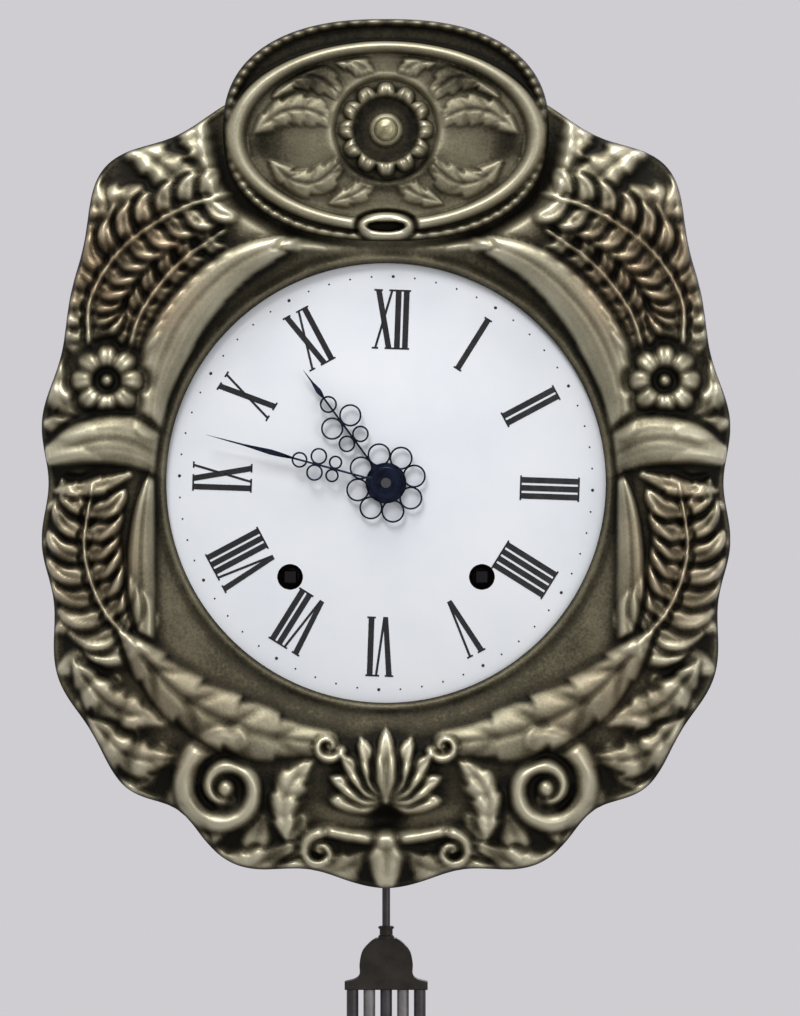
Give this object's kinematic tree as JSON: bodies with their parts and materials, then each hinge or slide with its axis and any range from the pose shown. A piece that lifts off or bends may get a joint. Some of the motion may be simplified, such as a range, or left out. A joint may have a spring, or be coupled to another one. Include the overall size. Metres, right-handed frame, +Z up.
{
  "type": "comtoise clock",
  "caption": "Wall-hung comtoise clock with an embossed brass surround, enamel dial, iron cage movement with going and strike trains, bell and long gridiron pendulum.",
  "frame": {"origin": "centre of the nail hole in the hanger strap, on the wall plane", "axes": "+Z up, +Y into the wall, the dial faces -Y"},
  "size_m": [0.3448, 0.189, 1.23],
  "materials": {
    "aged_brass": "aged, darkened in the hollows",
    "brass": "satin",
    "bell_metal": "turned, tarnished",
    "iron": "forged, oiled",
    "steel": "filed and polished",
    "blued_steel": "blued",
    "enamel": "gloss white"
  },
  "bodies": {
    "frame": {"embossed_surround": "aged_brass", "crest_medallion": "aged_brass", "surround_fixings": "brass", "dial_plate": "enamel", "dial_clips": "iron", "false_plate": "iron", "front_pillars": "iron", "frame_screws": "steel", "top_plate": "iron", "bottom_plate": "iron", "corner_posts": "iron", "front_bars": "iron", "rear_bars": "iron", "pivot_bushes": "brass", "back_plate": "iron", "door_hinge_pins": "steel", "hanger_strap": "iron", "wall_feet": "iron", "bell": "bell_metal", "bell_stand": "steel", "bell_nut": "brass", "minute_wheel_stud": "steel", "rack_guides": "brass", "suspension_cock": "iron", "suspension_pin": "steel"},
    "hand_arbor": {"centre_arbor": "brass", "cannon_pinion": "brass", "minute_hand": "blued_steel", "hand_nut": "blued_steel"},
    "hour_work": {"hour_wheel": "brass", "hour_hand": "blued_steel"},
    "minute_work": {"minute_wheel": "brass"},
    "going_great": {"going_great_wheel": "brass", "going_click_spring": "steel"},
    "going_winder": {"going_drum": "brass"},
    "going_click": {"going_click": "steel"},
    "third": {"third_arbor": "brass"},
    "escape": {"escape_arbor": "brass"},
    "pallets": {"pallet_arbor": "steel", "crutch": "steel"},
    "pendulum": {"pendulum_leader": "steel", "pendulum_crown": "iron", "grid_rods": "steel", "pendulum_bob": "brass", "rating_nut": "brass"},
    "strike_great": {"strike_great_wheel": "brass", "strike_click_spring": "steel"},
    "strike_winder": {"strike_drum": "brass"},
    "strike_click": {"strike_click": "steel"},
    "strike_pins": {"pin_wheel": "brass"},
    "warning": {"warning_wheel": "brass"},
    "fly": {"fly": "brass"},
    "rack": {"strike_rack": "steel"},
    "hammer": {"hammer_head": "steel", "hammer_arbor": "steel"},
    "left_door": {"left_door": "iron", "left_door_knob": "brass"},
    "right_door": {"right_door": "iron", "right_door_knob": "brass"}
  },
  "joints": [
    {"name": "hands_turn", "type": "hinge", "parent": "frame", "child": "hand_arbor", "pos_m": [0, 0, -0.15], "axis": [0, 1, 0], "continuous": true},
    {"name": "hour_turn", "type": "hinge", "parent": "frame", "child": "hour_work", "pos_m": [0, 0, -0.15], "axis": [0, 1, 0], "continuous": true},
    {"name": "minute_work_turn", "type": "hinge", "parent": "frame", "child": "minute_work", "pos_m": [0, 0, -0.176], "axis": [0, 1, 0], "continuous": true},
    {"name": "going_great_turn", "type": "hinge", "parent": "frame", "child": "going_great", "pos_m": [0.048, 0, -0.197], "axis": [0, 1, 0], "continuous": true},
    {"name": "going_winding", "type": "hinge", "parent": "going_great", "child": "going_winder", "pos_m": [0.048, 0, -0.197], "axis": [0, 1, 0], "continuous": true},
    {"name": "going_click_lift", "type": "hinge", "parent": "going_great", "child": "going_click", "pos_m": [0.064, 0, -0.16929], "axis": [0, 1, 0], "range_deg": [0, 8], "stiffness_Nm_per_rad": 0.002, "springref_deg": -28.65},
    {"name": "third_turn", "type": "hinge", "parent": "frame", "child": "third", "pos_m": [0, 0, -0.114], "axis": [0, 1, 0], "continuous": true},
    {"name": "escape_turn", "type": "hinge", "parent": "frame", "child": "escape", "pos_m": [0, 0, -0.082], "axis": [0, 1, 0], "continuous": true},
    {"name": "pendulum_swing", "type": "hinge", "parent": "frame", "child": "pendulum", "pos_m": [0, 0, -0.056], "axis": [0, 1, 0], "range_deg": [-4, 4]},
    {"name": "pallet_rock", "type": "hinge", "parent": "frame", "child": "pallets", "pos_m": [0, 0, -0.056], "axis": [0, 1, 0], "range_deg": [-4, 4]},
    {"name": "strike_turn", "type": "hinge", "parent": "frame", "child": "strike_pins", "pos_m": [-0.048, 0, -0.151], "axis": [0, 1, 0], "continuous": true},
    {"name": "strike_great_turn", "type": "hinge", "parent": "frame", "child": "strike_great", "pos_m": [-0.048, 0, -0.197], "axis": [0, 1, 0], "continuous": true},
    {"name": "strike_winding", "type": "hinge", "parent": "strike_great", "child": "strike_winder", "pos_m": [-0.048, 0, -0.197], "axis": [0, 1, 0], "continuous": true},
    {"name": "strike_click_lift", "type": "hinge", "parent": "strike_great", "child": "strike_click", "pos_m": [-0.064, 0, -0.22471], "axis": [0, 1, 0], "range_deg": [0, 8], "stiffness_Nm_per_rad": 0.002, "springref_deg": -28.65},
    {"name": "warning_turn", "type": "hinge", "parent": "frame", "child": "warning", "pos_m": [-0.048, 0, -0.125], "axis": [0, 1, 0], "continuous": true},
    {"name": "fly_turn", "type": "hinge", "parent": "frame", "child": "fly", "pos_m": [-0.048, 0, -0.0995], "axis": [0, 1, 0], "continuous": true},
    {"name": "rack_slide", "type": "slide", "parent": "frame", "child": "rack", "axis": [0, 0, 1], "range_m": [0, 0.018]},
    {"name": "hammer_swing", "type": "hinge", "parent": "frame", "child": "hammer", "pos_m": [-0.078, -0.033, -0.15], "axis": [0, 0, -1], "range_deg": [0, 12], "stiffness_Nm_per_rad": 0.05, "springref_deg": -11.46},
    {"name": "left_door_hinge", "type": "hinge", "parent": "frame", "child": "left_door", "pos_m": [-0.1205, -0.0222, -0.15], "axis": [0, 0, -1], "range_deg": [0, 95]},
    {"name": "right_door_hinge", "type": "hinge", "parent": "frame", "child": "right_door", "pos_m": [0.1205, -0.0222, -0.15], "axis": [0, 0, 1], "range_deg": [0, 95]}
  ],
  "couplings": [
    {"joint": "hour_turn", "follows": "hands_turn", "ratio": 0.083333},
    {"joint": "minute_work_turn", "follows": "hands_turn", "ratio": -0.33333},
    {"joint": "going_great_turn", "follows": "hands_turn", "ratio": -0.083333},
    {"joint": "third_turn", "follows": "hands_turn", "ratio": -8},
    {"joint": "escape_turn", "follows": "hands_turn", "ratio": 60},
    {"joint": "pallet_rock", "follows": "pendulum_swing", "ratio": 1},
    {"joint": "strike_great_turn", "follows": "strike_turn", "ratio": -0.095238},
    {"joint": "warning_turn", "follows": "strike_turn", "ratio": -7},
    {"joint": "fly_turn", "follows": "strike_turn", "ratio": 42}
  ]
}
